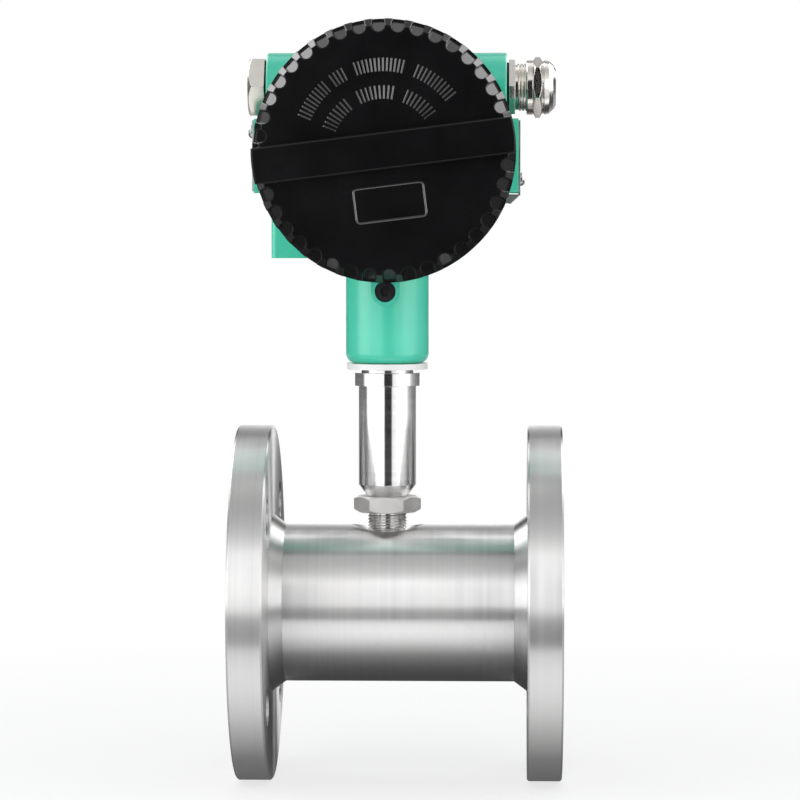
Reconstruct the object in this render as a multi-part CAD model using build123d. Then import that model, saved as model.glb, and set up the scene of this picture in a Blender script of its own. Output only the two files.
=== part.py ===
from build123d import *
import math
import os

# Liquid turbine flow meter for a 50 mm line: a flanged body with a bladed rotor between two
# vaned guides, a pickup stem screwed into the body over the rotor, and a round two-chamber
# signal head on the stem. The origin is the centre of the inlet flange's face, +X runs with
# the flow, the head's front cover faces -Y and +Z is up. Millimetres and degrees.

# Fits
fit_gap = 0.05
running_gap = 0.04
thread_gap = 0.3
cut_margin = 1.0
hex_edge = 0.3

# Line and flanges
face_to_face = 150.0
flange_diameter = 165.0
flange_thickness = 16.0
flange_chamfer = 0.8
bolt_circle = 125.0
bolt_hole = 18.0
bolt_count = 4
hub_diameter = 82.0
hub_length = 6.0
tube_diameter = 73.0
flow_bore = 50.0
seat_bore = 52.0

# Rotor and its shaft
stem_x = 69.0
rotor_length = 14.0
core_diameter = 22.0
blade_count = 8
blade_thickness = 1.6
blade_twist = 30.0
blade_tip_gap = 0.5
blade_root_depth = 1.5
blade_crown = 0.02
core_gap = 0.5
shaft_diameter = 4.0
shaft_end_gap = 0.3

# Guides, bearings and retaining rings
shoulder_offset = 11.0
vane_count = 4
vane_length = 26.0
vane_thickness = 2.0
nose_length = 13.0
tail_length = 20.0
nose_foot = 1.0
nose_steps = 7
bearing_diameter = 9.0
bearing_length = 9.0
bearing_recess = 0.5
pad_thickness = 1.5
ring_thickness = 1.8
ring_groove_depth = 1.5
ring_width = 3.6
ring_opening = 34.0
ring_eye = 2.5
ring_eye_gap = 0.6

# Stem
stem_wall_under = 2.0
spot_floor_z = 33.0
spot_floor_radius = 10.5
spot_slope = 62.0
stem_thread = 18.0
stem_thread_core = 16.8
nut_z = 42.4
nut_height = 7.5
nut_flats = 27.0
cone_foot = 18.6
cone_height = 5.4
stem_diameter = 26.6
stem_top_z = 101.2
stem_floor = 2.0
coil_bore = 12.0
stem_bore = 19.6
board_shoulder_z = 56.0

# Coupling between stem and head
coupling_spigot = 7.5
collar_diameter = 30.1
collar_height = 6.0
coupling_waist = 24.0
waist_height = 1.7
nipple_diameter = 20.0
nipple_length = 14.0
coupling_hole = 10.0
gasket_diameter = 37.4
gasket_height = 2.7

# Pickup
bobbin_length = 22.0
bobbin_flange = 1.2
bobbin_core = 5.6
winding_diameter = 10.6
pin_diameter = 4.0
magnet_diameter = 9.0
board_thickness = 1.6
lead_diameter = 5.0
chip_width = 3.0
chip_length = 5.0
chip_height = 1.2

# Head housing
head_z = 209.0
head_half_depth = 31.0
chamber_diameter = 97.0
drum_wall = 7.5
thread_step = 1.8
thread_depth = 12.0
collar_rim_step = 2.0
collar_rim_width = 6.0
bulkhead_y = 11.0
bulkhead_thickness = 4.0
neck_diameter = 38.3
neck_edge_radius = 4.5
cast_radius = 3.0
pad_edge_radius = 2.0
neck_passage = 14.0
conduit_rise = 29.9
conduit_inset = 0.8
conduit_boss = 32.0
conduit_edge = 0.6
conduit_thread = 20.0
pad_step = 4.6
pad_drop = 18.8
pad_height = 34.0
pad_width = 36.0
block_inset = 2.0
block_drop = 48.9
block_height = 40.0
block_width = 24.0
block_front_y = 2.0

# Cover lock screw
lock_drop = 7.7
lock_boss_width = 13.0
lock_boss_y = -29.0
lock_bore = 9.6
lock_bore_depth = 6.0
lock_head = 9.2
lock_head_height = 5.0
lock_thread = 5.0
lock_length = 9.0
lock_key = 4.0
lock_end_gap = 1.0

# Covers
cover_step = 1.5
cover_base_height = 7.0
cover_height = 18.0
cover_bevel_width = 3.5
cover_bevel_height = 7.0
cover_wall = 6.0
spigot_length = 10.0
spigot_wall = 5.0
spigot_edge = 1.0
bar_width = 16.2
bar_height = 4.0
bar_chamfer = 0.5
bar_tilt = 7.0
pocket_width = 6.2
pocket_cut = 6.3
pocket_ledge = 1.1
pocket_slope = 60.0
pocket_draft = 2.5
pocket_pitch = 9.0
pocket_count = 18
seal_inset = 1.7
seal_width = 3.0
seal_depth = 1.6

# Blanking plug and cable gland
entry_thread_length = 13.0
entry_flats = 26.0
plug_gasket_step = 0.5
gland_washer_step = 1.0
gasket_thickness = 1.0
plug_height = 7.7
plug_face_inset = 0.8
plug_dome_angle = 35.0
gland_flats = 25.0
gland_hex_height = 2.8
gland_thread = 22.0
gland_thread_core = 20.8
gland_thread_length = 15.0
gland_bore = 14.0
gland_nut_start = 5.2
gland_nut_ring = 25.2
gland_nut_flats = 24.6
gland_nut_turn = -8.5
gland_nut_length = 13.5
gland_ring_length = 2.9
gland_band_length = 4.4
gland_groove = 0.5
gland_dome = 4.4
gland_nut_mouth = 12.4
cable_hole = 10.0
gland_seal_length = 11.0
clamp_length = 1.5

# Side plates
plate_thickness = 0.9
plate_margin = 0.8
plate_overhang = 0.6
tab_reach = 4.6
tab_drop = 4.2
cheek_reach = 7.4
plate_screw_offset = 10.0
plate_screw_drop = 5.9
plate_screw_rise = 6.4
screw_head = 6.0
screw_head_height = 1.9
screw_shank = 3.0
screw_length = 7.0
screw_end_gap = 1.0
driver_slot_width = 0.9
driver_slot_depth = 0.7

# Boards and terminals
terminal_count = 6
terminal_pitch = 8.0
terminal_end = 10.0
terminal_depth = 14.0
terminal_height = 22.0
terminal_drop = 11.0
terminal_slot = 1.4
terminal_step = 8.0
terminal_fixing_inset = 3.5
main_board_gap = 3.0
standoff_height = 8.0
standoff_diameter = 6.0
standoff_inset = 7.0
feed_diameter = 12.0
feed_flange = 16.0
feed_flange_height = 2.0
feed_x = 8.0
feed_inset = 14.0

# What stands on the main board: place as a share of its radius, then width, length and height
board_parts = [
    (0.0, 0.1, 14.0, 14.0, 2.0),
    (0.48, -0.1, 8.0, 12.0, 3.0),
    (-0.5, 0.05, 10.0, 7.0, 3.5),
    (0.05, -0.57, 26.0, 7.0, 9.0),
    (0.0, 0.6, 16.0, 6.0, 4.0),
]

# Places worked out from the sizes above
seat_shoulder = shoulder_offset
core_end = rotor_length / 2 + core_gap
vane_end = seat_shoulder + vane_length
groove_width = ring_thickness + 2 * fit_gap
bearing_depth = bearing_recess + bearing_length + pad_thickness
stem_foot_z = flow_bore / 2 + stem_wall_under
coil_floor_z = stem_foot_z + stem_floor
nut_top_z = nut_z + nut_height
collar_top_z = stem_top_z + collar_height
gasket_z = collar_top_z + waist_height
neck_z = gasket_z + gasket_height
nipple_top_z = gasket_z + nipple_length
drum_diameter = chamber_diameter + 2 * drum_wall
collar_rim_diameter = drum_diameter + 2 * collar_rim_step
thread_bore = chamber_diameter + 2 * thread_step
conduit_reach = drum_diameter / 2 - conduit_inset
conduit_z = head_z + conduit_rise
pad_reach = drum_diameter / 2 + pad_step
pad_bottom_z = head_z - pad_drop
block_reach = drum_diameter / 2 - block_inset
block_bottom_z = head_z - block_drop
lock_z = head_z - drum_diameter / 2 - lock_drop
terminal_bottom_z = head_z - terminal_drop
terminal_width = (terminal_count - 1) * terminal_pitch + 2 * terminal_end
seal_inner = thread_bore + 2 * seal_inset
seal_outer = seal_inner + 2 * seal_width
cover_diameter = collar_rim_diameter + 2 * cover_step
pocket_reach = cover_diameter / 2 - pocket_cut
spigot_diameter = thread_bore - 2 * thread_gap
spigot_bore = spigot_diameter - 2 * spigot_wall
pocket_depth = cover_height - cover_base_height
main_board_diameter = spigot_bore - 2 * main_board_gap
standoff_radius = main_board_diameter / 2 - standoff_inset
feed_drop = main_board_diameter / 2 - feed_inset


def turned(points):
    """The solid that a closed outline of (radius, height) points makes around Z."""
    outline = make_face(Polyline(*points, close=True))
    return revolve(Plane.XZ * outline, Axis.Z)


def ring(inner, outer, height):
    """A flat ring on Z = 0, from its two diameters."""
    return extrude(Circle(outer / 2) - Circle(inner / 2), height)


def rod(diameter, height):
    """A round bar standing on Z = 0."""
    return extrude(Circle(diameter / 2), height)


def hexagon(flats, height, chamfered=True):
    """A hexagonal bar on Z = 0 with its corners turned off at both ends."""
    bar = extrude(RegularPolygon(flats / 2, 6, major_radius=False), height)
    if not chamfered:
        return bar
    corner = flats / math.sqrt(3)
    inner = flats / 2 - hex_edge
    rise = (corner - inner) * math.tan(math.radians(30))
    chamfer_body = turned([
        (0, 0), (inner, 0), (corner, rise), (corner, height - rise), (inner, height), (0, height)])
    return bar & chamfer_body


def along_flow(shape, x=0.0):
    """Turns a shape made around Z to run with the flow, from x."""
    return Pos(x, 0, 0) * Rot(0, 90, 0) * shape


def at_rotor(shape, outlet):
    """Places a shape whose Z is the distance from the rotor's middle plane, towards one side."""
    turn = Rot(0, 90, 0) if outlet else Rot(0, 0, 180) * Rot(0, 90, 0)
    return Pos(stem_x, 0, 0) * turn * shape


def on_stem(shape, z=0.0):
    return Pos(stem_x, 0, z) * shape


def on_cover_seat(shape, rear=False):
    """Places a shape whose Z points out of the head, on the head's front or rear face."""
    turn = Rot(0, 0, 180) if rear else Rot(0, 0, 0)
    return Pos(stem_x, 0, head_z) * turn * Pos(0, -head_half_depth, 0) * Rot(90, 0, 0) * shape


def at_entry(shape, right):
    """Places a shape whose Z points out of the head, on the face of a conduit boss."""
    turn = Rot(0, 90, 0) if right else Rot(0, -90, 0)
    reach = conduit_reach if right else -conduit_reach
    return Pos(stem_x + reach, 0, conduit_z) * turn * shape


# Flow body
def flange():
    radius = flange_diameter / 2
    body = turned([
        (seat_bore / 2, 0),
        (radius - flange_chamfer, 0),
        (radius, flange_chamfer),
        (radius, flange_thickness - flange_chamfer),
        (radius - flange_chamfer, flange_thickness),
        (hub_diameter / 2, flange_thickness),
        (tube_diameter / 2, flange_thickness + hub_length),
        (seat_bore / 2, flange_thickness + hub_length)])
    first_hole = 180 / bolt_count
    holes = PolarLocations(bolt_circle / 2, bolt_count, start_angle=first_hole)
    return body - [place * rod(bolt_hole, flange_thickness) for place in holes]


def inlet_flange():
    return along_flow(flange())


def outlet_flange():
    return Pos(face_to_face, 0, 0) * Rot(0, -90, 0) * flange()


def body_tube():
    start = flange_thickness + hub_length
    length = face_to_face - 2 * start
    tube = along_flow(ring(flow_bore, tube_diameter, length), start)
    inlet_seat = stem_x - seat_shoulder - start
    outlet_seat = face_to_face - start - stem_x - seat_shoulder
    tube -= along_flow(rod(seat_bore, inlet_seat), start)
    tube -= along_flow(rod(seat_bore, outlet_seat), stem_x + seat_shoulder)
    groove = Pos(0, 0, vane_end) * rod(seat_bore + 2 * ring_groove_depth, groove_width)
    tube -= at_rotor(groove, outlet=False)
    tube -= at_rotor(groove, outlet=True)
    spot_height = tube_diameter / 2 - spot_floor_z + cut_margin
    spot_top = spot_floor_radius + spot_height * math.tan(math.radians(spot_slope))
    spot = turned([(0, 0), (spot_floor_radius, 0), (spot_top, spot_height), (0, spot_height)])
    tube -= on_stem(spot, spot_floor_z)
    stem_hole = rod(stem_thread + 2 * fit_gap, tube_diameter / 2 - stem_foot_z)
    return tube - on_stem(stem_hole, stem_foot_z)


# Guides: a streamlined core on straight vanes, seated against the step in the tube's bore
def guide(cone_length):
    core = core_diameter / 2
    cone_foot_z = vane_end + nose_foot
    turns = [math.radians(90 * k / nose_steps) for k in range(nose_steps)]
    nose = [(core * math.cos(t), cone_foot_z + cone_length * math.sin(t)) for t in turns]
    body = turned([(0, core_end), (core, core_end), *nose, (0, cone_foot_z + cone_length)])
    reach = seat_bore / 2 - fit_gap
    root = core * 0.6
    middle = Pos((root + reach) / 2, 0, seat_shoulder + vane_length / 2)
    vane = middle * Box(reach - root, vane_thickness, vane_length)
    vanes = [place * vane for place in PolarLocations(0, vane_count, start_angle=180 / vane_count)]
    rim = rod(2 * reach, vane_end)
    body += [each & rim for each in vanes]
    return body - Pos(0, 0, core_end) * rod(bearing_diameter, bearing_depth)


def retaining_ring():
    outer = seat_bore + 2 * ring_groove_depth - 2 * fit_gap
    inner = outer - 2 * ring_width
    loop = Circle(outer / 2) - Circle(inner / 2)
    half_gap = ring_opening / 2
    reach = outer
    wedge = make_face(Polyline(
        (0, 0),
        (reach * math.cos(math.radians(half_gap)), reach * math.sin(math.radians(half_gap))),
        (reach * math.cos(math.radians(half_gap)), -reach * math.sin(math.radians(half_gap))),
        close=True))
    loop -= wedge
    eye_radius = inner / 2 - 0.2 * ring_width
    eye_turn = half_gap + math.degrees((ring_eye + ring_eye_gap) / eye_radius)
    for side in (1, -1):
        place = Rot(0, 0, side * eye_turn) * Pos(eye_radius, 0)
        loop += place * Circle(ring_eye)
    for side in (1, -1):
        place = Rot(0, 0, side * eye_turn) * Pos(eye_radius, 0)
        loop -= place * Circle(ring_eye / 2)
    return Pos(0, 0, vane_end) * extrude(loop, ring_thickness)


def bearing():
    bush = ring(shaft_diameter + 2 * running_gap, bearing_diameter - 2 * fit_gap, bearing_length)
    return Pos(0, 0, core_end + bearing_recess) * bush


def thrust_pad():
    pad = rod(bearing_diameter - 2 * fit_gap, pad_thickness)
    return Pos(0, 0, core_end + bearing_recess + bearing_length) * pad


# Rotor with twisted blades on a plain shaft
def rotor():
    tip = flow_bore / 2 - blade_tip_gap
    root = core_diameter / 2 - blade_root_depth
    section = Pos((root + tip) / 2, 0) * Rectangle(tip - root, blade_thickness)
    section = section & Circle(tip - blade_crown)
    blade = Solid.extrude_linear_with_rotation(
        section.face(), (0, 0, 0), (0, 0, rotor_length), blade_twist)
    body = rod(core_diameter, rotor_length)
    body += [place * blade for place in PolarLocations(0, blade_count)]
    body -= rod(shaft_diameter + 2 * fit_gap, rotor_length)
    return along_flow(body, stem_x - rotor_length / 2)


def rotor_shaft():
    half = core_end + bearing_recess + bearing_length - shaft_end_gap
    return along_flow(rod(shaft_diameter, 2 * half), stem_x - half)


# Pickup stem
def pickup_stem():
    thread = stem_thread / 2
    body = turned([
        (0, stem_foot_z),
        (thread, stem_foot_z),
        (thread, spot_floor_z),
        (stem_thread_core / 2, spot_floor_z),
        (stem_thread_core / 2, nut_top_z),
        (cone_foot / 2, nut_top_z),
        (stem_diameter / 2, nut_top_z + cone_height),
        (stem_diameter / 2, stem_top_z),
        (0, stem_top_z)])
    body -= Pos(0, 0, coil_floor_z) * rod(coil_bore, stem_top_z - coil_floor_z)
    body -= Pos(0, 0, board_shoulder_z) * rod(stem_bore, stem_top_z - board_shoulder_z)
    return on_stem(body)


def stem_locknut():
    nut = hexagon(nut_flats, nut_height) - rod(stem_thread_core + 2 * fit_gap, nut_height)
    return on_stem(nut, nut_z)


def stem_coupling():
    body = turned([
        (coupling_hole / 2, stem_top_z - coupling_spigot),
        (stem_bore / 2 - fit_gap, stem_top_z - coupling_spigot),
        (stem_bore / 2 - fit_gap, stem_top_z),
        (collar_diameter / 2, stem_top_z),
        (collar_diameter / 2, collar_top_z),
        (coupling_waist / 2, collar_top_z),
        (coupling_waist / 2, gasket_z),
        (nipple_diameter / 2 - fit_gap, gasket_z),
        (nipple_diameter / 2 - fit_gap, nipple_top_z),
        (coupling_hole / 2, nipple_top_z)])
    return on_stem(body)


def neck_gasket():
    return on_stem(ring(nipple_diameter + 2 * fit_gap, gasket_diameter, gasket_height), gasket_z)


# Pickup coil on its iron pin, with the magnet and amplifier board above it
def coil_bobbin():
    spool = coil_bore / 2 - fit_gap
    bobbin = turned([
        (pin_diameter / 2 + fit_gap, 0),
        (spool, 0),
        (spool, bobbin_flange),
        (bobbin_core / 2, bobbin_flange),
        (bobbin_core / 2, bobbin_length - bobbin_flange),
        (spool, bobbin_length - bobbin_flange),
        (spool, bobbin_length),
        (pin_diameter / 2 + fit_gap, bobbin_length)])
    return on_stem(bobbin, coil_floor_z)


def coil_winding():
    height = bobbin_length - 2 * bobbin_flange
    wire = ring(bobbin_core + 2 * fit_gap, winding_diameter, height)
    return on_stem(wire, coil_floor_z + bobbin_flange)


def pole_pin():
    return on_stem(rod(pin_diameter, bobbin_length), coil_floor_z)


def pickup_magnet():
    foot = coil_floor_z + bobbin_length
    return on_stem(rod(magnet_diameter, board_shoulder_z - foot), foot)


def preamp_board():
    board = rod(stem_bore - 2 * fit_gap, board_thickness)
    reach = (stem_bore + lead_diameter) / 4
    chip = Box(chip_width, chip_length, chip_height)
    for x in (-reach, reach):
        board += Pos(x, 0, board_thickness + chip_height / 2) * chip
    return on_stem(board, board_shoulder_z)


def signal_lead():
    foot = board_shoulder_z + board_thickness
    return on_stem(rod(lead_diameter, terminal_bottom_z - foot), foot)


# Head housing: a drum with a chamber at each side of a bulkhead, on a neck
def across(diameter, front, back):
    """A round bar along Y through the head's centre, from one Y to the other."""
    return Pos(stem_x, back, head_z) * Rot(90, 0, 0) * rod(diameter, back - front)


def lock_boss():
    radius = lock_boss_width / 2
    outline = Circle(radius) + Pos(0, radius) * Rectangle(lock_boss_width, 2 * radius)
    boss = extrude(outline, -lock_boss_y)
    return Pos(stem_x, 0, lock_z) * Rot(90, 0, 0) * boss


def side_pad(right):
    centre = pad_reach / 2 if right else -pad_reach / 2
    middle_z = pad_bottom_z + pad_height / 2
    pad = Pos(stem_x + centre, 0, middle_z) * Box(pad_reach, pad_width, pad_height)
    return fillet(pad.edges().filter_by(Axis.X), pad_edge_radius)


def rear_block():
    width = block_reach
    middle = (-block_reach / 2, block_front_y + block_width / 2, block_bottom_z + block_height / 2)
    block = Pos(stem_x, 0, 0) * Pos(*middle) * Box(width, block_width, block_height)
    return fillet(block.edges().filter_by(Axis.Z), pad_edge_radius)


def plate_screw_places():
    """The centres of the four plate screws on the pads' faces, and whether each is on the right."""
    right_z = pad_bottom_z + plate_screw_rise
    left_z = pad_bottom_z + pad_height - plate_screw_drop
    places = []
    for right, z in ((True, right_z), (False, left_z)):
        for y in (-plate_screw_offset, plate_screw_offset):
            places.append((right, y, z))
    return places


def at_pad(shape, right, y, z):
    """Places a shape whose Z points out of a side pad, on the pad's face."""
    turn = Rot(0, 90, 0) if right else Rot(0, -90, 0)
    reach = pad_reach if right else -pad_reach
    return Pos(stem_x + reach, y, z) * turn * shape


def standoff_places():
    return PolarLocations(standoff_radius, 4, start_angle=45)


def board_side(shape):
    """Places a shape whose Z points to the rear, on the bulkhead's rear face."""
    face_y = bulkhead_y + bulkhead_thickness
    return Pos(stem_x, face_y, head_z) * Rot(0, 0, 180) * Rot(90, 0, 0) * shape


def terminal_screw_places():
    first = -(terminal_count - 1) / 2 * terminal_pitch
    return [first + k * terminal_pitch for k in range(terminal_count)]


def terminal_fixing_places():
    reach = terminal_width / 2 - terminal_fixing_inset
    return [-reach, reach]


def terminal_side(shape, x):
    """Places a shape whose Z points to the front, on the terminal block's front face."""
    middle_z = terminal_bottom_z + terminal_height / 2
    return Pos(stem_x + x, bulkhead_y - terminal_depth, middle_z) * Rot(90, 0, 0) * shape


def feed_place(shape):
    """Places a shape whose Z points to the front, on the bulkhead's front face at the lead hole."""
    return Pos(stem_x + feed_x, bulkhead_y, head_z - feed_drop) * Rot(90, 0, 0) * shape


def housing():
    drum = across(drum_diameter, -head_half_depth, head_half_depth)
    neck = rod(neck_diameter, head_z - neck_z)
    neck = fillet(neck.edges().group_by(Axis.Z)[0], neck_edge_radius)
    neck = on_stem(neck, neck_z)
    conduit = Pos(stem_x - conduit_reach, 0, conduit_z) * Rot(0, 90, 0)
    conduit = conduit * rod(conduit_boss, 2 * conduit_reach)
    conduit = chamfer(conduit.edges().filter_by(GeomType.CIRCLE), conduit_edge)
    body = drum + neck
    body = fillet(new_edges(drum, neck, combined=body), cast_radius)
    body += conduit
    body += [side_pad(True), side_pad(False), rear_block(), lock_boss()]
    body += across(collar_rim_diameter, -head_half_depth, collar_rim_width - head_half_depth)
    body += across(collar_rim_diameter, head_half_depth - collar_rim_width, head_half_depth)

    body -= across(chamber_diameter, -head_half_depth, bulkhead_y)
    body -= across(thread_bore, -head_half_depth, thread_depth - head_half_depth)
    body -= across(chamber_diameter, bulkhead_y + bulkhead_thickness, head_half_depth)
    body -= across(thread_bore, head_half_depth - thread_depth, head_half_depth)

    body -= on_stem(rod(nipple_diameter, nipple_top_z - neck_z), neck_z)
    chamber_floor_z = head_z - chamber_diameter / 2
    body -= on_stem(rod(neck_passage, chamber_floor_z + 2 * cut_margin - neck_z), neck_z)
    entry = Pos(0, 0, -conduit_reach * 0.4) * rod(conduit_thread, conduit_reach * 0.4)
    body -= at_entry(entry, right=True)
    body -= at_entry(entry, right=False)

    lock = Pos(stem_x, lock_boss_y, lock_z) * Rot(90, 0, 0)
    body -= lock * Pos(0, 0, -lock_bore_depth) * rod(lock_bore, lock_bore_depth)
    shank_depth = lock_bore_depth + lock_length
    body -= lock * Pos(0, 0, -shank_depth) * rod(lock_thread, shank_depth)

    screw_hole = Pos(0, 0, -screw_length) * rod(screw_shank, screw_length)
    body -= [at_pad(screw_hole, *place) for place in plate_screw_places()]
    post_hole = Pos(0, 0, -bulkhead_thickness * 0.6) * rod(screw_shank, bulkhead_thickness * 0.6)
    body -= [board_side(place * post_hole) for place in standoff_places()]
    fixing_hole = Pos(0, 0, -terminal_depth - bulkhead_thickness * 0.6)
    fixing_hole = fixing_hole * rod(screw_shank, bulkhead_thickness * 0.6)
    body -= [terminal_side(fixing_hole, x) for x in terminal_fixing_places()]
    return body - feed_place(Pos(0, 0, -bulkhead_thickness) * rod(feed_diameter, bulkhead_thickness))


def cover_lock_screw():
    head = rod(lock_head, lock_head_height)
    socket_depth = lock_head_height * 0.55
    head -= Pos(0, 0, lock_head_height - socket_depth) * hexagon(lock_key, socket_depth, False)
    shank_length = lock_length - lock_end_gap
    shank = Pos(0, 0, -shank_length) * rod(lock_thread - 2 * fit_gap, shank_length)
    screw = Pos(0, 0, -lock_bore_depth) * (head + shank)
    return Pos(stem_x, lock_boss_y, lock_z) * Rot(90, 0, 0) * screw


# Screw covers with a toothed rim and a raised bar across the face
def grip_bar():
    half = bar_width / 2
    top = cover_height + bar_height
    outline = make_face(Polyline(
        (-half, cover_base_height),
        (half, cover_base_height),
        (half, top - bar_chamfer),
        (half - bar_chamfer, top),
        (bar_chamfer - half, top),
        (-half, top - bar_chamfer),
        close=True))
    bar = extrude(Plane.YZ * outline, cover_diameter / 2, both=True)
    radius = cover_diameter / 2
    ends = turned([(0, 0), (radius, 0), (radius, top - bar_chamfer), (radius - bar_chamfer, top), (0, top)])
    return bar & ends


def rim_pocket():
    """One pocket of the rim, with a round inner end and a flat floor that slopes out to the base ring."""
    half = pocket_width / 2
    mouth = Pos(pocket_reach + half, 0) * Circle(half)
    mouth += Pos(pocket_reach + half + pocket_cut, 0) * Rectangle(2 * pocket_cut, pocket_width)
    sides = Rot(180, 0, 0) * extrude(mouth, pocket_depth, taper=pocket_draft)
    floor_edge = cover_diameter / 2 - pocket_ledge
    rise = (floor_edge - pocket_reach) * math.tan(math.radians(pocket_slope))
    far = floor_edge + 2 * pocket_cut
    room = make_face(Polyline(
        (pocket_reach, cover_base_height + rise),
        (floor_edge, cover_base_height),
        (far, cover_base_height),
        (far, cover_height),
        (pocket_reach, cover_height),
        close=True))
    return Pos(0, 0, cover_height) * sides & extrude(Plane.XZ * room, pocket_width, both=True)


def cover():
    rim = cover_diameter / 2
    body = turned([
        (0, 0),
        (rim, 0),
        (rim, cover_height - cover_bevel_height),
        (rim - cover_bevel_width, cover_height),
        (0, cover_height)])
    quarter = 90 - (pocket_count - 1) / 2 * pocket_pitch
    pocket = rim_pocket()
    for side in (0, 180):
        turns = [side + quarter + k * pocket_pitch for k in range(pocket_count)]
        body -= [Rot(0, 0, turn) * pocket for turn in turns]
    body += grip_bar()
    spigot = Pos(0, 0, -spigot_length) * rod(spigot_diameter, spigot_length)
    body += chamfer(spigot.edges().group_by(Axis.Z)[0], spigot_edge)
    hollow = cover_height - cover_wall + spigot_length
    body -= Pos(0, 0, -spigot_length) * rod(spigot_bore, hollow)
    body -= ring(seal_inner, seal_outer, seal_depth)
    return Rot(0, 0, bar_tilt) * body


def cover_seal():
    return ring(seal_inner + 2 * fit_gap, seal_outer - 2 * fit_gap, seal_depth)


# Blanking plug, and cable gland with its seal, clamp ring and nut
def blanking_plug():
    head = hexagon(entry_flats, plug_height, False)
    reach = entry_flats / math.sqrt(3) + plug_face_inset
    inner = entry_flats / 2 - plug_face_inset
    drop = (reach - inner) * math.tan(math.radians(plug_dome_angle))
    dome = turned([(0, 0), (reach, 0), (reach, plug_height - drop), (inner, plug_height), (0, plug_height)])
    head = Pos(0, 0, gasket_thickness) * Rot(0, 0, 30) * (head & dome)
    depth = entry_thread_length
    return head + Pos(0, 0, -depth) * rod(conduit_thread - 2 * fit_gap, depth + gasket_thickness)


def entry_gasket(outer):
    return ring(conduit_thread + 2 * fit_gap, outer, gasket_thickness)


def gland_body():
    face = gasket_thickness + gland_hex_height
    body = Pos(0, 0, gasket_thickness) * Rot(0, 0, 30) * hexagon(gland_flats, gland_hex_height, False)
    depth = entry_thread_length
    body += Pos(0, 0, -depth) * rod(conduit_thread - 2 * fit_gap, depth + gasket_thickness)
    body += Pos(0, 0, face) * rod(gland_thread_core, gland_thread_length)
    seat = face + gland_thread_length - gland_seal_length
    body -= Pos(0, 0, -depth) * rod(cable_hole, depth + face + gland_thread_length)
    return body - Pos(0, 0, seat) * rod(gland_bore, gland_seal_length)


def gland_seal():
    seat = gasket_thickness + gland_hex_height + gland_thread_length - gland_seal_length
    return Pos(0, 0, seat) * ring(cable_hole, gland_bore - 2 * fit_gap, gland_seal_length)


def gland_clamp():
    seat = gasket_thickness + gland_hex_height + gland_thread_length
    return Pos(0, 0, seat) * ring(gland_nut_mouth, gland_thread_core, clamp_length)


def gland_nut():
    start = gasket_thickness + gland_hex_height + gland_nut_start
    clamp_top = gasket_thickness + gland_hex_height + gland_thread_length + clamp_length
    radius = gland_nut_ring / 2
    ring_end = start + gland_ring_length
    hex_end = ring_end + gland_band_length
    end = start + gland_nut_length
    groove = radius - gland_groove
    dome = (end - hex_end) / 2
    shell = turned([
        (0, start), (groove, start), (radius, start + gland_groove), (radius, ring_end),
        (groove, ring_end), (groove, hex_end + gland_groove), (radius, hex_end + 2 * gland_groove),
        (radius - gland_groove, hex_end + dome), (radius - gland_dome / 2, end - 0.4 * dome),
        (radius - gland_dome, end), (0, end)])
    band = Pos(0, 0, ring_end) * Rot(0, 0, gland_nut_turn) * hexagon(gland_nut_flats, hex_end - ring_end)
    nut = shell + band
    nut -= Pos(0, 0, start) * rod(gland_thread + 2 * fit_gap, clamp_top - start)
    return nut - Pos(0, 0, start) * rod(gland_nut_mouth, gland_nut_length)


# Plates and screws on the side pads
def side_plate(right):
    """A flat sheet on the pad; the right one is folded in under the pad, with a cheek at the fold's front."""
    side = 1 if right else -1
    middle_x = stem_x + side * (pad_reach + plate_thickness / 2)
    top = (middle_x, pad_bottom_z + pad_height - plate_margin)
    if right:
        fold_z = pad_bottom_z - plate_overhang
        path = Polyline(top, (middle_x, fold_z), (middle_x - tab_reach, fold_z - tab_drop))
    else:
        path = Polyline(top, (middle_x, pad_bottom_z + plate_margin))
    width = pad_width - 2 * plate_margin
    plate = extrude(Plane.XZ * trace(path, plate_thickness), width / 2, both=True)
    if right:
        cheek = make_face(Polyline(
            (middle_x, fold_z),
            (middle_x - tab_reach, fold_z - tab_drop),
            (middle_x - cheek_reach, fold_z - tab_drop),
            (middle_x - cheek_reach, fold_z),
            close=True))
        plate += Pos(0, -width / 2 + plate_thickness, 0) * extrude(Plane.XZ * cheek, plate_thickness)
    shank = Pos(0, 0, -cut_margin) * rod(screw_shank + 2 * fit_gap, plate_thickness + 2 * cut_margin)
    return plate - [at_pad(shank, *place) for place in plate_screw_places()]


def pan_screw(length):
    """A pan-head screw with its head's seat on Z = 0 and a straight driver slot."""
    rim = screw_head / 2
    head = turned([
        (0, 0), (rim, 0), (rim, screw_head_height * 0.5), (rim * 0.7, screw_head_height),
        (0, screw_head_height)])
    head -= Pos(0, 0, screw_head_height) * Box(screw_head, driver_slot_width, 2 * driver_slot_depth)
    return head + Pos(0, 0, -length) * rod(screw_shank - 2 * fit_gap, length)


def side_plate_screws():
    screw = Pos(0, 0, plate_thickness) * pan_screw(screw_length)
    return [at_pad(screw, *place) for place in plate_screw_places()]


# Terminal block in the front chamber
def terminal_block():
    size = (terminal_width, terminal_height, terminal_depth)
    block = Pos(0, 0, -terminal_depth / 2) * Box(*size)
    block -= Pos(0, -terminal_height / 2, 0) * Box(terminal_width, terminal_height * 0.5, terminal_step)
    for x in terminal_screw_places():
        block -= Pos(x - terminal_pitch / 2, 0, 0) * Box(terminal_slot, terminal_height, 2 * terminal_slot)
        block -= Pos(x, 0, -screw_length) * rod(screw_shank, screw_length)
    for x in terminal_fixing_places():
        block -= Pos(x, 0, -terminal_depth) * rod(screw_shank, terminal_depth)
    return terminal_side(block, 0)


def terminal_screws():
    return [terminal_side(pan_screw(screw_length - screw_end_gap), x) for x in terminal_screw_places()]


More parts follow.
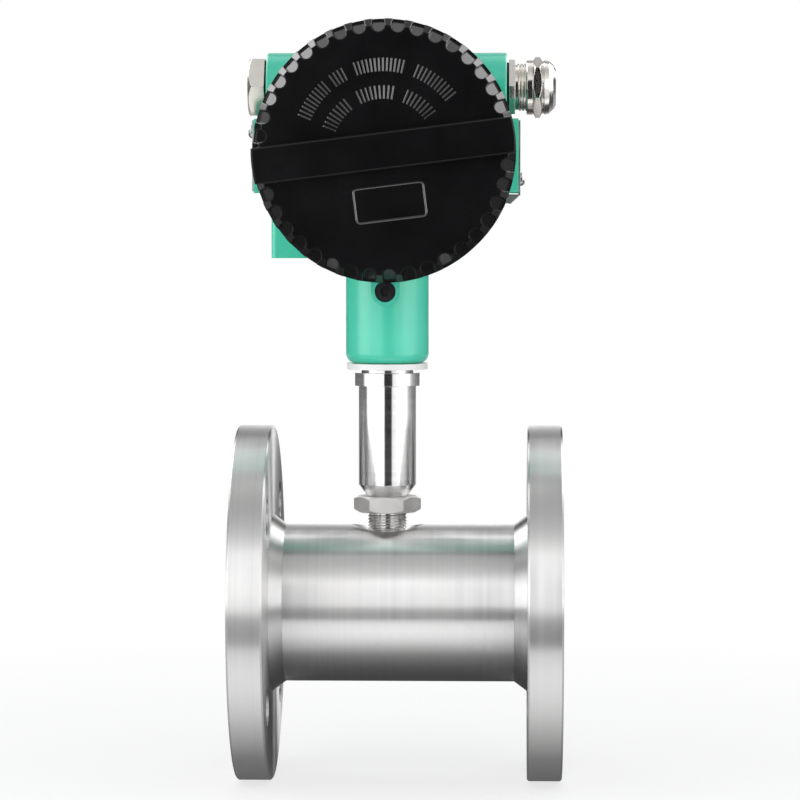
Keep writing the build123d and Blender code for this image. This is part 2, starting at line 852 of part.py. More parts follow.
def terminal_block_screws():
    length = terminal_depth + bulkhead_thickness * 0.5
    return [terminal_side(pan_screw(length), x) for x in terminal_fixing_places()]


# Main board in the rear chamber
def board_standoffs():
    post = rod(standoff_diameter, standoff_height)
    post -= Pos(0, 0, standoff_height * 0.4) * rod(screw_shank, standoff_height * 0.6)
    post += Pos(0, 0, -bulkhead_thickness * 0.5) * rod(screw_shank - 2 * fit_gap, bulkhead_thickness * 0.5)
    return [board_side(place * post) for place in standoff_places()]


def main_board():
    board = rod(main_board_diameter, board_thickness)
    board -= [place * rod(screw_shank + 2 * fit_gap, board_thickness) for place in standoff_places()]
    radius = main_board_diameter / 2
    for x, y, wide, long, tall in board_parts:
        board += Pos(x * radius, y * radius, board_thickness + tall / 2) * Box(wide, long, tall)
    return board_side(Pos(0, 0, standoff_height) * board)


def board_screws():
    screw = Pos(0, 0, standoff_height + board_thickness) * pan_screw(standoff_height * 0.5)
    return [board_side(place * screw) for place in standoff_places()]


def feedthrough():
    through = bulkhead_thickness + standoff_height
    bush = rod(feed_flange, feed_flange_height)
    return feed_place(bush + Pos(0, 0, -through) * rod(feed_diameter - 2 * fit_gap, through))


def group(solids):
    return Compound(children=solids)


pieces = {
    "inlet_flange": inlet_flange(),
    "outlet_flange": outlet_flange(),
    "body_tube": body_tube(),
    "inlet_guide": at_rotor(guide(nose_length), outlet=False),
    "outlet_guide": at_rotor(guide(tail_length), outlet=True),
    "inlet_retaining_ring": at_rotor(retaining_ring(), outlet=False),
    "outlet_retaining_ring": at_rotor(retaining_ring(), outlet=True),
    "inlet_bearing": at_rotor(bearing(), outlet=False),
    "outlet_bearing": at_rotor(bearing(), outlet=True),
    "inlet_thrust_pad": at_rotor(thrust_pad(), outlet=False),
    "outlet_thrust_pad": at_rotor(thrust_pad(), outlet=True),
    "rotor": rotor(),
    "rotor_shaft": rotor_shaft(),
    "pickup_stem": pickup_stem(),
    "stem_locknut": stem_locknut(),
    "stem_coupling": stem_coupling(),
    "neck_gasket": neck_gasket(),
    "coil_bobbin": coil_bobbin(),
    "coil_winding": coil_winding(),
    "pole_pin": pole_pin(),
    "pickup_magnet": pickup_magnet(),
    "preamp_board": preamp_board(),
    "signal_lead": signal_lead(),
    "housing": housing(),
    "cover_lock_screw": cover_lock_screw(),
    "front_cover": on_cover_seat(cover()),
    "front_cover_seal": on_cover_seat(cover_seal()),
    "rear_cover": on_cover_seat(cover(), rear=True),
    "rear_cover_seal": on_cover_seat(cover_seal(), rear=True),
    "blanking_plug": at_entry(blanking_plug(), right=False),
    "plug_gasket": at_entry(entry_gasket(entry_flats - 2 * plug_gasket_step), right=False),
    "gland_body": at_entry(gland_body(), right=True),
    "gland_washer": at_entry(entry_gasket(gland_flats - 2 * gland_washer_step), right=True),
    "gland_seal": at_entry(gland_seal(), right=True),
    "gland_clamp": at_entry(gland_clamp(), right=True),
    "gland_nut": at_entry(gland_nut(), right=True),
    "side_plate_left": side_plate(False),
    "side_plate_right": side_plate(True),
    "side_plate_screws": group(side_plate_screws()),
    "terminal_block": terminal_block(),
    "terminal_screws": group(terminal_screws()),
    "terminal_block_screws": group(terminal_block_screws()),
    "board_standoffs": group(board_standoffs()),
    "main_board": main_board(),
    "board_screws": group(board_screws()),
    "feedthrough": feedthrough(),
}

os.makedirs("parts", exist_ok=True)
for name, shape in pieces.items():
    export_step(shape, f"parts/{name}.step")
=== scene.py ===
import bpy
import bmesh
import math
from mathutils import Matrix, Vector


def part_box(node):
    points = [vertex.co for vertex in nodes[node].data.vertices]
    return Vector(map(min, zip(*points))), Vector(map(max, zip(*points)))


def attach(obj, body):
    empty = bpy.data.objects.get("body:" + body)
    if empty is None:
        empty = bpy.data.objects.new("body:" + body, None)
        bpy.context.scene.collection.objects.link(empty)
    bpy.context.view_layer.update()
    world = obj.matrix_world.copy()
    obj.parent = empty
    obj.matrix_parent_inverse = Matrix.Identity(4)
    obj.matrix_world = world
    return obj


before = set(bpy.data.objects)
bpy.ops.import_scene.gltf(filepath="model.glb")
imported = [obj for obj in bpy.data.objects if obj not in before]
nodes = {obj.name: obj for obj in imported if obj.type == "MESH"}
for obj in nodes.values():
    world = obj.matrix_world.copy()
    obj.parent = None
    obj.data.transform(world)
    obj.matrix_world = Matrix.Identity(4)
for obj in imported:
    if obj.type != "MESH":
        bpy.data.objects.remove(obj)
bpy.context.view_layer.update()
scene = bpy.context.scene

# Places from the frame, in metres
stem_low, stem_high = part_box("pickup_stem")
cover_low, cover_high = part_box("front_cover")
gland_low, gland_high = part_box("gland_body")
floor_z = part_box("inlet_flange")[0][2]
nut_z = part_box("stem_locknut")[0][2]
stem_x = (stem_low[0] + stem_high[0]) / 2
head_z = (cover_low[2] + cover_high[2]) / 2
entry_z = (gland_low[2] + gland_high[2]) / 2

# Camera, fitted to the photograph's view
camera_place = (0.12624, -1.60498, 0.18108)
camera_target = (0.07485, 0.0, 0.094369)
camera_focal_pixels = 3464.4
image_pixels = 800
sensor_mm = 36.0

# Front cover: height of the grip bar over the face, its tilt, and what stands on the face
bar_height = 0.004
bar_tilt = math.radians(7.0)
rib_length = 0.0062
rib_width = 0.00075
rib_height = 0.00028
rib_crest_share = 0.22
raised_foot = -0.0002
raised_crown = 0.00008

# Each group of ribs: radius of its arc, number of ribs, and the first and last one's degrees from the top
outer_arc = 0.0385
inner_arc = 0.0262
rib_groups = [
    (outer_arc, 10, 60.0, 35.0), (outer_arc, 4, 29.0, 20.5), (outer_arc, 13, 12.0, -20.0),
    (outer_arc, 11, -29.5, -58.0),
    (inner_arc, 8, 61.0, 31.0), (inner_arc, 9, 18.0, -16.0), (inner_arc, 8, -29.5, -59.5),
]
frame_size = (0.0325, 0.0163)
frame_line = 0.0009
frame_height = 0.00035
frame_drop = 0.0235
frame_corner = 0.0022
frame_corner_steps = 5

# Brightness that reflections see on the floor, from front to back: a painted reflection of the lit table in
# front, and the meter's own shadow painted dark under the pipe
table_shades = [
    (-2.7, 1.2), (-0.68, 1.15), (-0.40, 1.0), (-0.246, 0.84), (-0.236, 1.2), (-0.185, 1.45), (-0.140, 1.62),
    (-0.113, 1.58), (-0.095, 1.42), (-0.077, 1.16), (-0.062, 0.80), (-0.050, 0.48), (-0.037, 0.30),
    (-0.02, 0.2), (0.0, 0.12), (0.045, 0.08), (0.20, 0.08), (0.30, 0.20), (0.70, 0.50), (2.7, 0.65),
]

# Brightness that reflections see of the studio above the floor: by the angle up from the front
# horizon over the top to the rear one, and by the azimuth of what is near the horizon and high up
arch_shades = [
    (-8, 1.2), (4, 1.3), (20, 1.34), (31, 1.32), (43, 1.22), (54, 1.02), (66, 0.82), (78, 0.70), (88, 0.76),
    (96, 1.05), (104, 1.35), (112, 1.5), (121, 1.35), (124, 0.35), (131, 0.3), (135, 0.65), (147, 0.5),
    (152, 0.4), (180, 0.7),
]
low_shades = [
    (-180, 2.0), (-173, 2.0), (-167, 0.05), (-125, 0.08), (-108, 0.2), (-96, 0.42), (-88, 1.1), (-78, 3.4),
    (-54, 3.6), (-46, 2.2), (-24, 2.1), (-11, 1.9), (-9, 0.0), (18.5, 0.0), (21, 1.1), (27, 1.3), (34, 1.5),
    (41, 1.7), (46, 2.1), (50, 3.2), (62, 3.2), (70, 2.6), (79, 2.4), (90, 2.1), (98, 1.6), (108, 0.8),
    (125, 0.2), (167, 0.05), (173, 2.0), (180, 2.0),
]
lamp_shades = [
    (-180, 0.0), (-158, 0.0), (-146, 1.0), (-114, 1.0), (-102, 0.0), (102, 0.0), (114, 1.0), (146, 1.0),
    (158, 0.0), (180, 0.0),
]
lamp_heights = [(0.0, 0.0), (0.75, 0.0), (1.05, 1.0), (1.8, 1.0), (2.0, 0.0), (2.6, 0.0)]
lamp_strength = 4.6
low_span = (1.3, 1.55)
shade_peak = 4.0
shell_radius = 2.6
shell_segments = (48, 24)
arch_span = (-90.0, 180.0)
full_turn = (-180.0, 180.0)
card_lift = 0.0005

# Painted reflection of the dark where the camera stood: a dark stripe on the table card, the degrees at which
# its two sides fade, the depth at which it begins, and the share of light that is left in it
stripe_left = (-11.0, -9.0)
stripe_right = (18.5, 21.0)
stripe_near = (-0.27, -0.24)
stripe_kept = 0.03

# Softboxes: azimuth, elevation, distance, size, radiance and colour
softboxes = {
    "left_softbox": (-57.0, 20.0, 1.4, (2.1, 1.5), 1.45, (1, 1, 1)),
    "right_softbox": (56.0, 20.0, 1.4, (2.5, 1.5), 1.15, (1, 1, 1)),
    "top_softbox": (180.0, 64.0, 1.5, (1.3, 0.55), 2.6, (0.93, 0.96, 1.0)),
}
studio_middle = Vector((stem_x, 0, 0.07))
room_color = (0.34, 0.35, 0.37, 1)

# Floor: how far it reaches, and how its own white grows with the distance from the meter
floor_half = 8.0
floor_color = (0.9, 0.9, 0.9, 1)
floor_roughness = 0.8
floor_near = (0.10, 0.55)
floor_glow = 0.72

# Grain of the materials: noise scales, the span of a noise that tone and roughness follow, the shares of
# the roughness that they run between, the depth of a coating's unevenness, and how far edges are softened
ring_scale = 2600.0
streak_scale = 240.0
patch_scale = 28.0
turned_span = (0.75, 1.25)
turned_shares = (0.88, 1.1)
turned_edge = 0.0004
metal_scale = 60.0
metal_shares = (0.8, 1.25)
cast_scale = 45.0
cast_depth = 0.00008
coating_shares = (0.85, 1.15)
patch_span = (0.3, 0.7)

# Screw threads: pitch, how deep the ridge sinks, its widths as shares of the pitch, the turns over which
# it runs out, its radii, and where each begins: the gland's one past its spigot, gasket and hexagon
thread_pitch = 0.0015
thread_sink = 0.00008
thread_foot_share = 0.44
thread_crest_share = 0.09
thread_turn_steps = 48
thread_run_out = 1 / 3
stem_thread_core = 0.0084
stem_thread_tip = 0.0090
gland_thread_core = 0.0104
gland_thread_tip = 0.0110
spot_floor = 0.033
gland_spigot = 0.013
gland_gasket = 0.001
gland_hexagon = 0.0028
gland_thread_start = gland_low[0] + gland_spigot + gland_gasket + gland_hexagon


def link(obj):
    scene.collection.objects.link(obj)
    return obj


def aim(obj, target):
    direction = Vector(target) - obj.location
    obj.rotation_euler = direction.to_track_quat("-Z", "Y").to_euler()


def make_camera():
    data = bpy.data.cameras.new("camera")
    data.sensor_width = sensor_mm
    data.lens = camera_focal_pixels / image_pixels * sensor_mm
    data.clip_end = 20.0
    camera = link(bpy.data.objects.new("camera", data))
    camera.location = camera_place
    aim(camera, camera_target)
    scene.camera = camera


def toward(azimuth, elevation):
    """A direction seen from the meter; azimuth 0 is in front, positive towards +X."""
    a = math.radians(azimuth)
    e = math.radians(elevation)
    return Vector((math.sin(a) * math.cos(e), -math.cos(a) * math.cos(e), math.sin(e)))


def softbox(name, azimuth, elevation, distance, size, radiance, color):
    """A lit panel of the given radiance, where 1 is white."""
    data = bpy.data.lights.new(name, "AREA")
    data.shape = "RECTANGLE"
    data.size = size[0]
    data.size_y = size[1]
    data.energy = radiance * math.pi * size[0] * size[1]
    data.color = color
    light = link(bpy.data.objects.new(name, data))
    light.location = studio_middle + toward(azimuth, elevation) * distance
    aim(light, studio_middle)
    light.visible_camera = False
    light.visible_glossy = False


def make_lights():
    for name, setting in softboxes.items():
        softbox(name, *setting)


def chain(tree, kind, link_in=None, values=None, **settings):
    """Adds a node with its settings and values, and feeds its named or numbered inputs."""
    made = tree.nodes.new(kind)
    for key, value in settings.items():
        setattr(made, key, value)
    for key, value in (values or {}).items():
        made.inputs[key].default_value = value
    for key, source in (link_in or {}).items():
        tree.links.new(source, made.inputs[key])
    return made


def ramp(tree, source, low, high, start, end):
    """Maps a value from one span to another, clamped."""
    values = {"From Min": low, "From Max": high, "To Min": start, "To Max": end}
    return chain(tree, "ShaderNodeMapRange", {"Value": source}, values).outputs["Result"]


def emission(tree, strength=1.0):
    """A white glow."""
    node = tree.nodes.new("ShaderNodeEmission")
    node.inputs["Color"].default_value = (1, 1, 1, 1)
    node.inputs["Strength"].default_value = strength
    return node


def math_node(tree, operation, link_in, values=None):
    return chain(tree, "ShaderNodeMath", link_in, values, operation=operation).outputs["Value"]


def vector_node(tree, operation, link_in, values=None, output="Vector"):
    return chain(tree, "ShaderNodeVectorMath", link_in, values, operation=operation).outputs[output]


def object_place(tree):
    return chain(tree, "ShaderNodeTexCoord").outputs["Object"]


def axes(tree, place):
    return chain(tree, "ShaderNodeSeparateXYZ", {0: place}).outputs


def shade_curve(tree, source, stops, low, high):
    """A grey that follows a list of (value, brightness) between two values, as a share of the peak."""
    share = ramp(tree, source, low, high, 0.0, 1.0)
    curve = chain(tree, "ShaderNodeValToRGB", {0: share})
    elements = curve.color_ramp.elements
    while len(elements) > 1:
        elements.remove(elements[0])
    for index, (value, shade) in enumerate(stops):
        place = (value - low) / (high - low)
        stop = elements[0] if index == 0 else elements.new(place)
        stop.position = place
        grey = shade / shade_peak
        stop.color = (grey, grey, grey, 1)
    return curve.outputs["Color"]


def reflected_only(name, mesh, tree, glow):
    """Puts a lit surface in the scene that only reflections see."""
    tree.links.new(glow.outputs["Emission"], tree.nodes["Material Output"].inputs["Surface"])
    obj = link(bpy.data.objects.new(name, mesh))
    obj.visible_camera = False
    obj.visible_shadow = False
    obj.visible_diffuse = False


def card_material(name):
    material = bpy.data.materials.new(name)
    material.use_nodes = True
    tree = material.node_tree
    tree.nodes.remove(tree.nodes["Principled BSDF"])
    return material, tree


def azimuth_angle(tree, place):
    """Degrees from the front round to a point, positive towards +X, seen from the stem."""
    parts = axes(tree, place)
    side = math_node(tree, "SUBTRACT", {0: parts["X"]}, {1: stem_x})
    ahead = math_node(tree, "MULTIPLY", {0: parts["Y"]}, {1: -1.0})
    turn = math_node(tree, "ARCTAN2", {0: side, 1: ahead})
    return math_node(tree, "DEGREES", {0: turn})


def table_card():
    """What reflections see of the floor round the meter, painted on a glowing card: a painted reflection of
    the lit table in front, a painted shadow of the meter under the pipe, and dark behind.
    """
    mesh = bpy.data.meshes.new("table_card")
    z = floor_z + card_lift
    front, back = table_shades[0][0], table_shades[-1][0]
    corners = [(front, front, z), (back, front, z), (back, back, z), (front, back, z)]
    mesh.from_pydata(corners, [], [(0, 1, 2, 3)])
    material, tree = card_material("table_card")
    mesh.materials.append(material)
    place = object_place(tree)
    depth = axes(tree, place)["Y"]
    glow = emission(tree, shade_peak)
    shade = shade_curve(tree, depth, table_shades, front, back)
    angle = azimuth_angle(tree, place)
    left = ramp(tree, angle, *stripe_left, 0.0, 1.0)
    right = ramp(tree, angle, *stripe_right, 1.0, 0.0)
    far = ramp(tree, depth, *stripe_near, 1.0, 0.0)
    stripe = math_node(tree, "MULTIPLY", {0: left, 1: right})
    stripe = math_node(tree, "MULTIPLY", {0: stripe, 1: far})
    kept = ramp(tree, stripe, 0.0, 1.0, 1.0, stripe_kept)
    dimmed = vector_node(tree, "MULTIPLY", {0: shade, 1: kept})
    tree.links.new(dimmed, glow.inputs["Color"])
    reflected_only("table_card", mesh, tree, glow)


def studio_shell():
    """What reflections see above the floor: a dome shaded by height, with a dark gap in front."""
    mesh = bpy.data.meshes.new("studio_shell")
    across, up = shell_segments
    made = bmesh.new()
    bmesh.ops.create_uvsphere(made, u_segments=across, v_segments=up, radius=shell_radius)
    made.to_mesh(mesh)
    made.free()
    mesh.transform(Matrix.Translation((stem_x, 0, 0)))
    material, tree = card_material("studio_shell")
    mesh.materials.append(material)
    place = object_place(tree)
    parts = axes(tree, place)
    ahead = math_node(tree, "MULTIPLY", {0: parts["Y"]}, {1: -1.0})
    lift = math_node(tree, "ARCTAN2", {0: parts["Z"], 1: ahead})
    lift = math_node(tree, "DEGREES", {0: lift})
    arch = shade_curve(tree, lift, arch_shades, *arch_span)
    azimuth = azimuth_angle(tree, place)
    low = shade_curve(tree, azimuth, low_shades, *full_turn)
    height = ramp(tree, parts["Z"], *low_span, 0.0, 1.0)
    even = (1 / shade_peak, 1 / shade_peak, 1 / shade_peak, 1)
    side = chain(tree, "ShaderNodeMix", {0: height, 6: low}, {7: even}, data_type="RGBA").outputs[2]
    shade = vector_node(tree, "MULTIPLY", {0: arch, 1: side})
    lamps = shade_curve(tree, azimuth, lamp_shades, *full_turn)
    span = shade_curve(tree, parts["Z"], lamp_heights, 0.0, shell_radius)
    lamps = vector_node(tree, "MULTIPLY", {0: lamps, 1: span})
    lamps = vector_node(tree, "MULTIPLY", {0: lamps}, {1: (lamp_strength,) * 3})
    shade = vector_node(tree, "ADD", {0: shade, 1: lamps})
    glow = emission(tree, shade_peak * shade_peak)
    tree.links.new(shade, glow.inputs["Color"])
    reflected_only("studio_shell", mesh, tree, glow)


def seen_rays(tree):
    """1 for rays from the camera, from gloss and through glass, otherwise 0."""
    path = tree.nodes.new("ShaderNodeLightPath")
    total = path.outputs["Is Camera Ray"]
    for kind in ("Is Glossy Ray", "Is Transmission Ray"):
        total = math_node(tree, "MAXIMUM", {0: total, 1: path.outputs[kind]})
    return total


def make_world():
    """White where it is seen, and a dimmer room for what lights the meter."""
    world = bpy.data.worlds.new("studio")
    scene.world = world
    world.use_nodes = True
    tree = world.node_tree
    tree.nodes.clear()
    output = tree.nodes.new("ShaderNodeOutputWorld")
    seen = tree.nodes.new("ShaderNodeBackground")
    seen.inputs["Color"].default_value = (1, 1, 1, 1)
    around = tree.nodes.new("ShaderNodeBackground")
    around.inputs["Color"].default_value = room_color
    mix = tree.nodes.new("ShaderNodeMixShader")
    tree.links.new(seen_rays(tree), mix.inputs["Fac"])
    tree.links.new(around.outputs["Background"], mix.inputs[1])
    tree.links.new(seen.outputs["Background"], mix.inputs[2])
    tree.links.new(mix.outputs["Shader"], output.inputs["Surface"])


def floor():
    """A pale floor that turns into the white background away from the meter."""
    mesh = bpy.data.meshes.new("floor")
    corners = [(sx * floor_half, sy * floor_half, floor_z) for sx, sy in ((-1, -1), (1, -1), (1, 1), (-1, 1))]
    mesh.from_pydata(corners, [], [(0, 1, 2, 3)])
    obj = link(bpy.data.objects.new("floor", mesh))
    material, tree, shader = new_material("floor_white")
    shader.inputs["Base Color"].default_value = floor_color
    shader.inputs["Roughness"].default_value = floor_roughness
    place = object_place(tree)
    distance = vector_node(tree, "DISTANCE", {0: place}, {1: (stem_x, 0, floor_z)}, "Value")
    fade = ramp(tree, distance, *floor_near, floor_glow, 1.0)
    share = math_node(tree, "MULTIPLY", {0: fade, 1: seen_rays(tree)})
    white = emission(tree)
    mix = chain(tree, "ShaderNodeMixShader", {"Fac": share})
    tree.links.new(shader.outputs["BSDF"], mix.inputs[1])
    tree.links.new(white.outputs["Emission"], mix.inputs[2])
    tree.links.new(mix.outputs["Shader"], tree.nodes["Material Output"].inputs["Surface"])
    mesh.materials.append(material)


def new_material(name):
    material = bpy.data.materials.new(name)
    material.use_nodes = True
    shader = material.node_tree.nodes["Principled BSDF"]
    return material, material.node_tree, shader


def noise(tree, coordinates, scale, detail=4.0, roughness=0.55, dimensions="3D"):
    slot = "W" if dimensions == "1D" else "Vector"
    values = {"Scale": scale, "Detail": detail, "Roughness": roughness}
    made = chain(tree, "ShaderNodeTexNoise", {slot: coordinates}, values, noise_dimensions=dimensions)
    return made.outputs["Fac"]


def tint(tree, shader, source, dark, light, span=patch_span):
    """Colours the surface between two tones by a value."""
    mapped = ramp(tree, source, *span, 0.0, 1.0)
    mix = chain(tree, "ShaderNodeMix", {0: mapped}, data_type="RGBA")
    mix.inputs[6].default_value = (*dark, 1)
    mix.inputs[7].default_value = (*light, 1)
    tree.links.new(mix.outputs[2], shader.inputs["Base Color"])


def vary_roughness(tree, shader, source, roughness, shares, span=patch_span):
    """Moves the roughness between two shares of itself by a value."""
    varied = ramp(tree, source, *span, roughness * shares[0], roughness * shares[1])
    tree.links.new(varied, shader.inputs["Roughness"])


def bump(tree, shader, sources, edge=0.0):
    """Chains height fields of (value, distance in metres) over softly rounded edges."""
    normal = None
    if edge:
        rounding = chain(tree, "ShaderNodeBevel", values={"Radius": edge}, samples=4)
        normal = rounding.outputs["Normal"]
    for height, distance in sources:
        made = chain(tree, "ShaderNodeBump", {"Height": height}, {"Strength": 1.0, "Distance": distance})
        if normal is not None:
            tree.links.new(normal, made.inputs["Normal"])
        normal = made.outputs["Normal"]
    tree.links.new(normal, shader.inputs["Normal"])


def turned_metal(name, axis, centre, dark, light, roughness=0.42, stretch=0.95, groove=0.0000015):
    """Metal turned on a lathe: fine rings round an axis, with reflections drawn out across them."""
    material, tree, shader = new_material(name)
    shader.inputs["Metallic"].default_value = 1.0
    shader.inputs["Anisotropic"].default_value = stretch
    shader.inputs["Anisotropic Rotation"].default_value = 0.25
    tangent = chain(tree, "ShaderNodeTangent", direction_type="RADIAL", axis=axis)
    tree.links.new(tangent.outputs["Tangent"], shader.inputs["Tangent"])
    place = object_place(tree)
    offset = vector_node(tree, "SUBTRACT", {0: place}, {1: centre})
    parts = axes(tree, offset)
    along = {"X": parts["X"], "Z": parts["Z"]}[axis]
    flat = {"X": (0, 1, 1), "Z": (1, 1, 0)}[axis]
    radial = vector_node(tree, "MULTIPLY", {0: offset}, {1: flat})
    radius = vector_node(tree, "LENGTH", {0: radial}, output="Value")
    run = math_node(tree, "ADD", {0: along, 1: radius})
    rings = noise(tree, run, ring_scale, 3.0, 0.6, "1D")
    streaks = noise(tree, run, streak_scale, 5.0, 0.6, "1D")
    patches = noise(tree, place, patch_scale, 4.0)
    both = math_node(tree, "ADD", {0: streaks, 1: patches})
    tint(tree, shader, both, dark, light, turned_span)
    vary_roughness(tree, shader, both, roughness, turned_shares, turned_span)
    bump(tree, shader, [(rings, groove), (streaks, groove * 2)], turned_edge)
    return material


def plain_metal(name, dark, light, roughness, grain=900.0, depth=0.000002, edge=0.0003):
    material, tree, shader = new_material(name)
    shader.inputs["Metallic"].default_value = 1.0
    place = object_place(tree)
    fine = noise(tree, place, grain, 3.0)
    patches = noise(tree, place, metal_scale, 5.0)
    tint(tree, shader, patches, dark, light)
    vary_roughness(tree, shader, patches, roughness, metal_shares)
    bump(tree, shader, [(fine, depth)], edge)
    return material


def coating(name, dark, light, roughness, orange_peel=0.000006, peel_scale=420.0, edge=0.0006, gloss=0.5):
    """Paint or plastic with a faint orange peel, softer edges and a slightly uneven tone."""
    material, tree, shader = new_material(name)
    shader.inputs["Specular IOR Level"].default_value = gloss
    place = object_place(tree)
    peel = noise(tree, place, peel_scale, 2.0, 0.5)
    cast = noise(tree, place, cast_scale, 4.0)
    tint(tree, shader, cast, dark, light)
    vary_roughness(tree, shader, cast, roughness, coating_shares)
    bump(tree, shader, [(cast, cast_depth), (peel, orange_peel)], edge)
    return material


def dress(material, *names):
    for name in names:
        mesh = nodes[name].data
        mesh.materials.clear()
        mesh.materials.append(material)


def new_piece(name, points, faces, body, material, place=None, smooth=True):
    """A closed mesh piece that rides on a body, moved to its place by a matrix."""
    mesh = bpy.data.meshes.new(name)
    mesh.from_pydata(points, [], faces)
    if place is not None:
        mesh.transform(place)
    made = bmesh.new()
    made.from_mesh(mesh)
    bmesh.ops.recalc_face_normals(made, faces=made.faces)
    made.to_mesh(mesh)
    made.free()
    if smooth:
        mesh.shade_smooth()
    mesh.materials.append(material)
    obj = link(bpy.data.objects.new(name, mesh))
    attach(obj, body)
    return obj


def thread(name, core, tip, length, material, place):
    """A helical ridge round Z from 0 to length that sinks into the core at both ends."""
    turns = (length - thread_pitch) / thread_pitch
    steps = int(turns * thread_turn_steps)
    foot = core - thread_sink
    points = []
    faces = []
    for k in range(steps + 1):
        share = k / steps
        angle = 2 * math.pi * turns * share
        ease = min(1.0, share * turns / thread_run_out, (1 - share) * turns / thread_run_out)
        crest = foot + (tip - core + thread_sink) * ease
        middle = thread_pitch / 2 + turns * thread_pitch * share
        ring = [
            (foot, middle - thread_pitch * thread_foot_share),
            (crest, middle - thread_pitch * thread_crest_share),
            (crest, middle + thread_pitch * thread_crest_share),
            (foot, middle + thread_pitch * thread_foot_share),
            (core - thread_sink * 3, middle)]
        for radius, height in ring:
            points.append((radius * math.cos(angle), radius * math.sin(angle), height))
    count = len(ring)
    for k in range(steps):
        for j in range(count):
            a = k * count + j
            b = k * count + (j + 1) % count
            faces.append((a, b, b + count, a + count))
    faces.append(tuple(range(count)))
    faces.append(tuple(steps * count + j for j in reversed(range(count))))
    new_piece(name, points, faces, "meter", material, place, smooth=False)


def roof_rib(length, width, height):
    """Points and faces of a raised rib with a ridge and sloped ends, along Y, its foot under Z = 0."""
    half = length / 2
    x = width / 2
    points = [(sx * x, sy * half, raised_foot) for sy in (-1, 1) for sx in (-1, 1)]
    points += [(sx * x, sy * half, raised_crown) for sy in (-1, 1) for sx in (-1, 1)]
    crest = x * rib_crest_share
    points += [(sx * crest, sy * (half - x), height) for sy in (-1, 1) for sx in (-1, 1)]
    faces = [(0, 2, 3, 1), (8, 9, 11, 10)]
    for low, high in ((0, 4), (4, 8)):
        for a, b in ((0, 1), (1, 3), (3, 2), (2, 0)):
            faces.append((low + a, low + b, high + b, high + a))
    return points, faces


def on_front_face():
    """Takes a piece drawn flat, X to the right and Y up in front, to the front cover's face."""
    face_y = cover_low[1] + bar_height
    stand = Matrix(((1, 0, 0, stem_x), (0, 0, -1, face_y), (0, 1, 0, head_z), (0, 0, 0, 1)))
    return stand @ Matrix.Rotation(bar_tilt, 4, "Z")


def cover_ribs(material):
    """Two arcs of plain raised ribs in groups over the grip bar, all in one piece."""
    points = []
    faces = []
    bar_points, bar_faces = roof_rib(rib_length, rib_width, rib_height)
    for radius, count, first, last in rib_groups:
        for k in range(count):
            angle = math.radians(first + (last - first) * k / (count - 1))
            turn = Matrix.Rotation(angle, 4, "Z") @ Matrix.Translation((0, radius, 0))
            start = len(points)
            points += [tuple(turn @ Vector(point)) for point in bar_points]
            faces += [tuple(start + index for index in face) for face in bar_faces]
    place = on_front_face()
    new_piece("front_cover_ribs", points, faces, "front_cover", material, place, smooth=False)


def cover_frame(material):
    """A bare raised frame with rounded corners under the grip bar."""
    profile = [(0.0, raised_foot), (0.0, raised_crown), (frame_line * 0.4, frame_height),
               (frame_line * 0.6, frame_height), (frame_line, raised_crown), (frame_line, raised_foot)]
    points = []
    faces = []
    ring = []
    for sx, sy, first in ((1, 1, 0), (-1, 1, 90), (-1, -1, 180), (1, -1, 270)):
        for k in range(frame_corner_steps + 1):
            angle = math.radians(first + 90 * k / frame_corner_steps)
            ring.append((sx, sy, math.cos(angle), math.sin(angle)))
    for sx, sy, cx, cy in ring:
        for inset, z in profile:
            reach = frame_corner - inset
            x = sx * (frame_size[0] / 2 - frame_corner) + cx * reach
            y = sy * (frame_size[1] / 2 - frame_corner) + cy * reach
            points.append((x, y - frame_drop, z))
    count = len(profile)
    total = len(ring)
    for i in range(total):
        for j in range(count):
            a = i * count + j
            b = i * count + (j + 1) % count
            c = ((i + 1) % total) * count + (j + 1) % count
            d = ((i + 1) % total) * count + j
            faces.append((a, b, c, d))
    place = on_front_face()
    new_piece("front_cover_frame", points, faces, "front_cover", material, place, smooth=False)


make_camera()
make_lights()
table_card()
studio_shell()
make_world()
floor()

steel_dark = (0.59, 0.59, 0.595)
steel_light = (0.68, 0.675, 0.67)
# Painted shade: the flanges get the tube's steel in a darker tone, because their rims catch less of the
# studio's light
shaded_flange_dark = (0.47, 0.47, 0.475)
shaded_flange_light = (0.55, 0.545, 0.54)
flow_steel = turned_metal(
    "flow_steel", "X", (0, 0, 0), steel_dark, steel_light, roughness=0.36, stretch=1.0)
shaded_flange_steel = turned_metal(
    "shaded_flange_steel", "X", (0, 0, 0), shaded_flange_dark, shaded_flange_light, roughness=0.36, stretch=1.0)
stem_steel = turned_metal(
    "stem_steel", "Z", (stem_x, 0, 0), steel_dark, steel_light, roughness=0.18, stretch=1.0, groove=0.000001)
hex_steel = plain_metal("hex_steel", (0.50, 0.49, 0.48), (0.64, 0.63, 0.61), roughness=0.24)
nut_steel = plain_metal("nut_steel", (0.58, 0.57, 0.56), (0.70, 0.69, 0.67), roughness=0.5)
nickel = plain_metal("nickel", (0.60, 0.58, 0.54), (0.72, 0.69, 0.64), roughness=0.24)
gland_nickel = turned_metal(
    "gland_nickel", "X", (0, 0, entry_z), (0.58, 0.56, 0.53), (0.72, 0.69, 0.65), roughness=0.14, stretch=0.5)
sheet = plain_metal("side_plate_sheet", (0.36, 0.37, 0.38), (0.46, 0.47, 0.48), roughness=0.42)
green = coating("green_paint", (0.060, 0.555, 0.385), (0.074, 0.615, 0.43), roughness=0.24)
black = coating(
    "black_paint", (0.0050, 0.0050, 0.0054), (0.0072, 0.0072, 0.0078), roughness=0.13,
    orange_peel=0.000004, peel_scale=300.0, edge=0.0007, gloss=0.26)
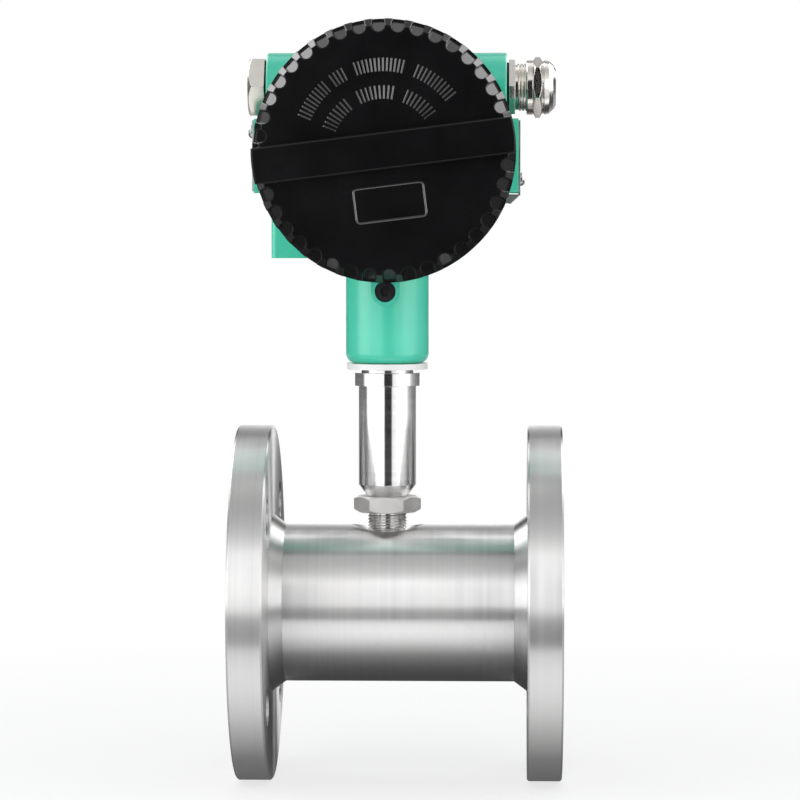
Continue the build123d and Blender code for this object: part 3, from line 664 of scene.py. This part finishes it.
raised_black = coating(
    "raised_black", (0.008, 0.008, 0.0085), (0.016, 0.016, 0.017), roughness=0.24,
    orange_peel=0.000004, peel_scale=300.0, edge=0.0, gloss=0.9)
black_steel = plain_metal("black_steel", (0.02, 0.02, 0.022), (0.05, 0.05, 0.055), roughness=0.35)
rubber = coating(
    "rubber", (0.008, 0.008, 0.008), (0.016, 0.016, 0.016), roughness=0.6,
    orange_peel=0.00001, peel_scale=900.0, edge=0.0003, gloss=0.3)
white = coating(
    "white_plastic", (0.78, 0.78, 0.76), (0.86, 0.86, 0.85), roughness=0.4,
    orange_peel=0.000003, peel_scale=500.0, edge=0.0003)
ceramic = coating("hard_bearing", (0.16, 0.16, 0.18), (0.28, 0.28, 0.30), roughness=0.15)
copper = plain_metal("copper", (0.55, 0.24, 0.12), (0.80, 0.42, 0.24), roughness=0.3)
iron = plain_metal("iron", (0.18, 0.18, 0.18), (0.34, 0.33, 0.32), roughness=0.45)
brass = plain_metal("brass", (0.62, 0.44, 0.18), (0.80, 0.62, 0.32), roughness=0.26)
board = coating("board", (0.015, 0.14, 0.06), (0.03, 0.24, 0.11), roughness=0.3)
grey_plastic = coating("grey_plastic", (0.10, 0.11, 0.12), (0.16, 0.17, 0.18), roughness=0.45)

dress(shaded_flange_steel, "inlet_flange", "outlet_flange")
dress(flow_steel, "body_tube", "inlet_guide", "outlet_guide", "rotor", "rotor_shaft")
dress(stem_steel, "pickup_stem", "stem_coupling")
dress(nut_steel, "stem_locknut")
dress(hex_steel, "inlet_retaining_ring", "outlet_retaining_ring",
      "side_plate_screws", "terminal_block_screws", "board_screws")
dress(nickel, "blanking_plug")
dress(gland_nickel, "gland_body", "gland_nut")
dress(green, "housing")
dress(black, "front_cover", "rear_cover")
dress(black_steel, "cover_lock_screw")
dress(rubber, "front_cover_seal", "rear_cover_seal", "plug_gasket", "gland_washer", "gland_seal")
dress(white, "neck_gasket", "coil_bobbin", "gland_clamp")
dress(ceramic, "inlet_bearing", "outlet_bearing", "inlet_thrust_pad", "outlet_thrust_pad")
dress(copper, "coil_winding")
dress(iron, "pole_pin", "pickup_magnet")
dress(board, "preamp_board", "main_board")
dress(grey_plastic, "terminal_block", "signal_lead", "feedthrough")
dress(brass, "board_standoffs", "terminal_screws")
dress(sheet, "side_plate_left", "side_plate_right")

cover_ribs(raised_black)
cover_frame(raised_black)
thread("stem_thread", stem_thread_core, stem_thread_tip, nut_z - spot_floor, hex_steel,
       Matrix.Translation((stem_x, 0, spot_floor)))
thread("gland_thread", gland_thread_core, gland_thread_tip, gland_high[0] - gland_thread_start,
       nickel, Matrix.Translation((gland_thread_start, 0, entry_z)) @ Matrix.Rotation(math.pi / 2, 4, "Y"))

scene.view_settings.view_transform = "Standard"
